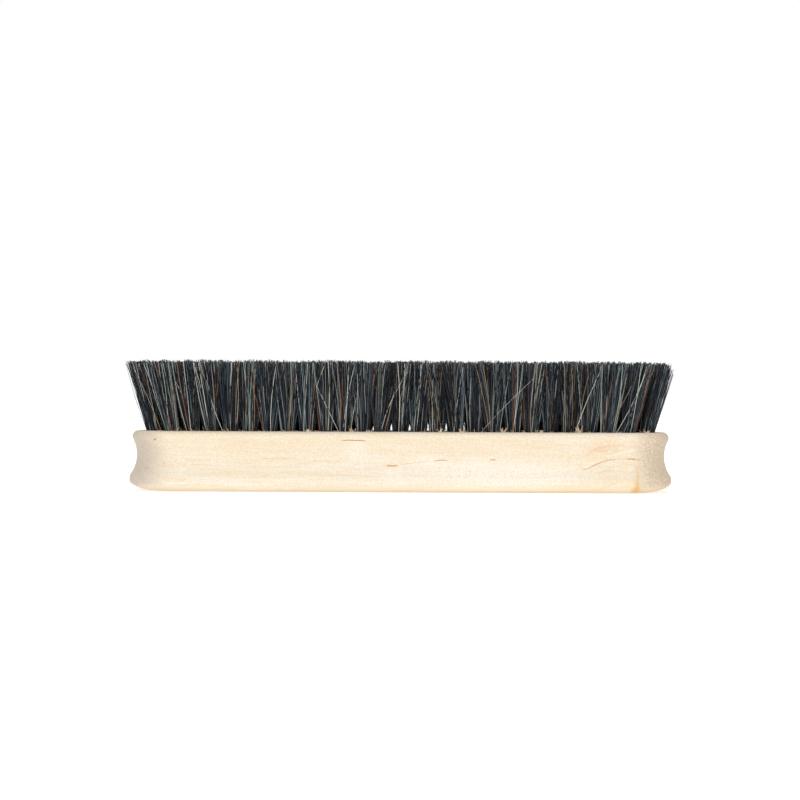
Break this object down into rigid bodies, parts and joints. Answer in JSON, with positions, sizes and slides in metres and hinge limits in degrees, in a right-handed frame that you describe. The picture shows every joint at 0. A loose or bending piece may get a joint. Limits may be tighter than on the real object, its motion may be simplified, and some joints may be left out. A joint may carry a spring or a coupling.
{
  "type": "clothes brush",
  "caption": "Clothes brush: one-piece oblong wooden block with a finger groove round its edge and a level-trimmed field of dark horsehair tufts that fan out at both ends.",
  "frame": {"origin": "on the flat back of the block, under the middle of the brush", "axes": "+X along the length of the brush, +Y across it, +Z from the back up through the bristles"},
  "size_m": [0.17, 0.05, 0.04],
  "materials": {
    "wood": "smooth, lightly waxed pale birch or beech",
    "hair": "dark horsehair with cream and rust-brown hairs mixed in",
    "anchor_steel": "plain flat steel wire"
  },
  "bodies": {
    "root": {"block": "wood", "tuft_column_01": "hair", "anchor_column_01": "anchor_steel", "tuft_column_02": "hair", "anchor_column_02": "anchor_steel", "tuft_column_03": "hair", "anchor_column_03": "anchor_steel", "tuft_column_04": "hair", "anchor_column_04": "anchor_steel", "tuft_column_05": "hair", "anchor_column_05": "anchor_steel", "tuft_column_06": "hair", "anchor_column_06": "anchor_steel", "tuft_column_07": "hair", "anchor_column_07": "anchor_steel", "tuft_column_08": "hair", "anchor_column_08": "anchor_steel", "tuft_column_09": "hair", "anchor_column_09": "anchor_steel", "tuft_column_10": "hair", "anchor_column_10": "anchor_steel", "tuft_column_11": "hair", "anchor_column_11": "anchor_steel", "tuft_column_12": "hair", "anchor_column_12": "anchor_steel", "tuft_column_13": "hair", "anchor_column_13": "anchor_steel", "tuft_column_14": "hair", "anchor_column_14": "anchor_steel", "tuft_column_15": "hair", "anchor_column_15": "anchor_steel", "tuft_column_16": "hair", "anchor_column_16": "anchor_steel", "tuft_column_17": "hair", "anchor_column_17": "anchor_steel", "tuft_column_18": "hair", "anchor_column_18": "anchor_steel", "tuft_column_19": "hair", "anchor_column_19": "anchor_steel", "tuft_column_20": "hair", "anchor_column_20": "anchor_steel", "tuft_column_21": "hair", "anchor_column_21": "anchor_steel", "tuft_column_22": "hair", "anchor_column_22": "anchor_steel", "tuft_column_23": "hair", "anchor_column_23": "anchor_steel", "tuft_column_24": "hair", "anchor_column_24": "anchor_steel", "tuft_column_25": "hair", "anchor_column_25": "anchor_steel", "tuft_column_26": "hair", "anchor_column_26": "anchor_steel", "tuft_column_27": "hair", "anchor_column_27": "anchor_steel"}
  },
  "joints": []
}
